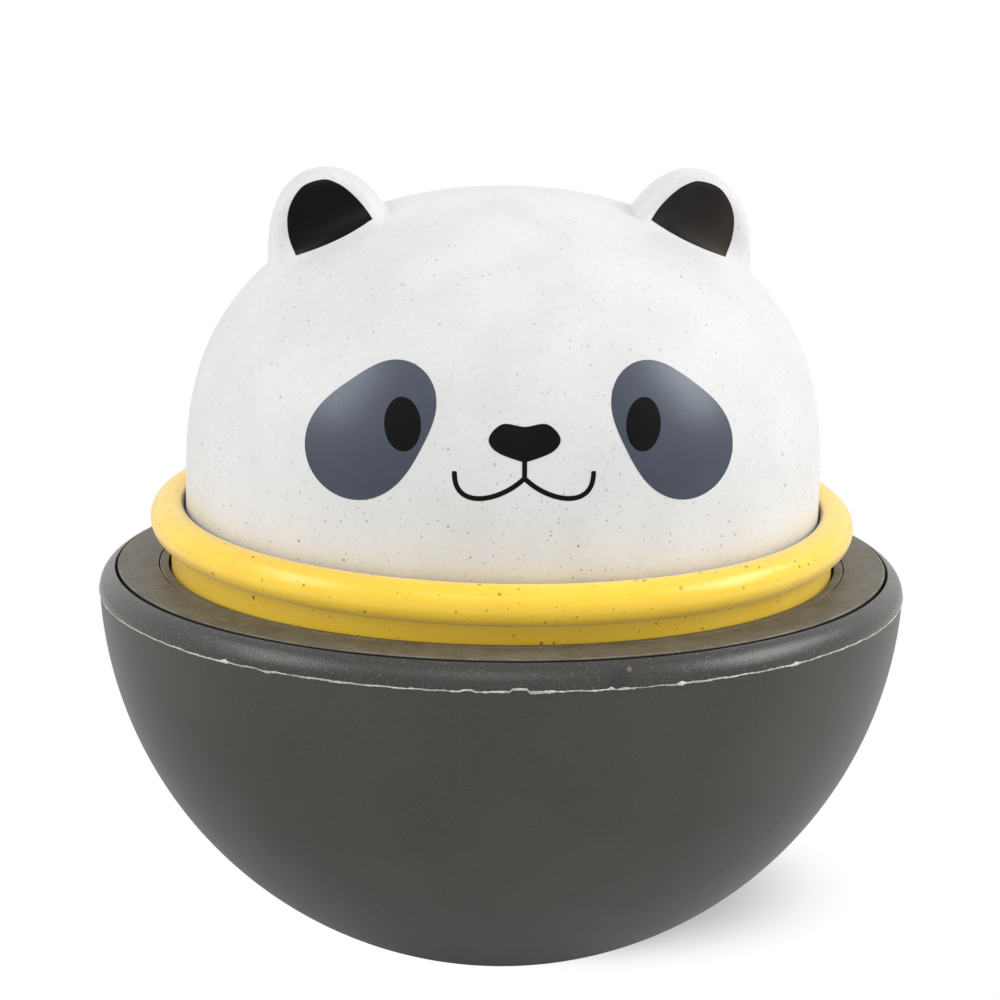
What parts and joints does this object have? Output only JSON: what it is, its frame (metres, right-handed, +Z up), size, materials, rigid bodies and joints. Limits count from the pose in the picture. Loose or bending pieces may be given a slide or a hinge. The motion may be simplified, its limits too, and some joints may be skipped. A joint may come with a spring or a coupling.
{
  "type": "roly poly toy",
  "caption": "Round-bottomed self-righting panda toy: a weighted dark bowl with a flat deck, a yellow collar and a white domed animal head that turns",
  "frame": {"origin": "middle of the small flat foot under the bowl, which is the middle of the bounding box's bottom", "axes": "+Z up through the middle of bowl and head, -Y the way the face looks, +X to the face's own left, which is the viewer's right"},
  "size_m": [0.0998, 0.0998, 0.0992],
  "materials": {
    "charcoal_plastic": "fine matte moulded charcoal plastic",
    "charcoal_ring": "satin charcoal plastic",
    "white_plastic": "satin white plastic with grey-brown plant-fibre specks",
    "yellow_plastic": "satin yellow plastic with sparse brown specks",
    "grey_print": "smooth slate grey print",
    "black_print": "smooth black print",
    "inner_plastic": "plain light inner plastic",
    "cast_iron": "rough dark cast iron",
    "steel": "zinc plated steel",
    "chime_metal": "bright drawn rod"
  },
  "bodies": {
    "base": {"base_bowl": "charcoal_plastic", "ballast_weight": "cast_iron", "ballast_screw_1": "steel", "ballast_screw_2": "steel", "ballast_screw_3": "steel", "chime_frame": "inner_plastic", "hanger_pin": "steel", "chime_rod_1": "chime_metal", "chime_rod_2": "chime_metal", "chime_rod_3": "chime_metal", "chime_rod_4": "chime_metal", "deck_ring": "charcoal_plastic", "bearing_ring": "charcoal_ring"},
    "head": {"head_shell": "white_plastic", "collar": "yellow_plastic", "retainer_ring": "inner_plastic", "head_screw_1": "steel", "head_screw_2": "steel", "head_screw_3": "steel", "eye_patch_left": "grey_print", "eye_patch_right": "grey_print", "eye_left": "black_print", "eye_right": "black_print", "ear_inlay_left": "black_print", "ear_inlay_right": "black_print", "nose_and_mouth": "black_print"},
    "swing": {"swing_link": "inner_plastic", "striker_pin": "steel"},
    "striker": {"striker_stem": "inner_plastic", "striker_ball": "inner_plastic"}
  },
  "joints": [
    {"name": "head_turn", "type": "hinge", "parent": "base", "child": "head", "pos_m": [0, 0, 0.0506], "axis": [0, 0, 1], "continuous": true},
    {"name": "chime_swing", "type": "hinge", "parent": "base", "child": "swing", "pos_m": [0, 0, 0.041], "axis": [1, 0, 0], "range_deg": [-28, 28]},
    {"name": "striker_swing", "type": "hinge", "parent": "swing", "child": "striker", "pos_m": [0, 0, 0.036], "axis": [0, 1, 0], "range_deg": [-28, 28]}
  ]
}
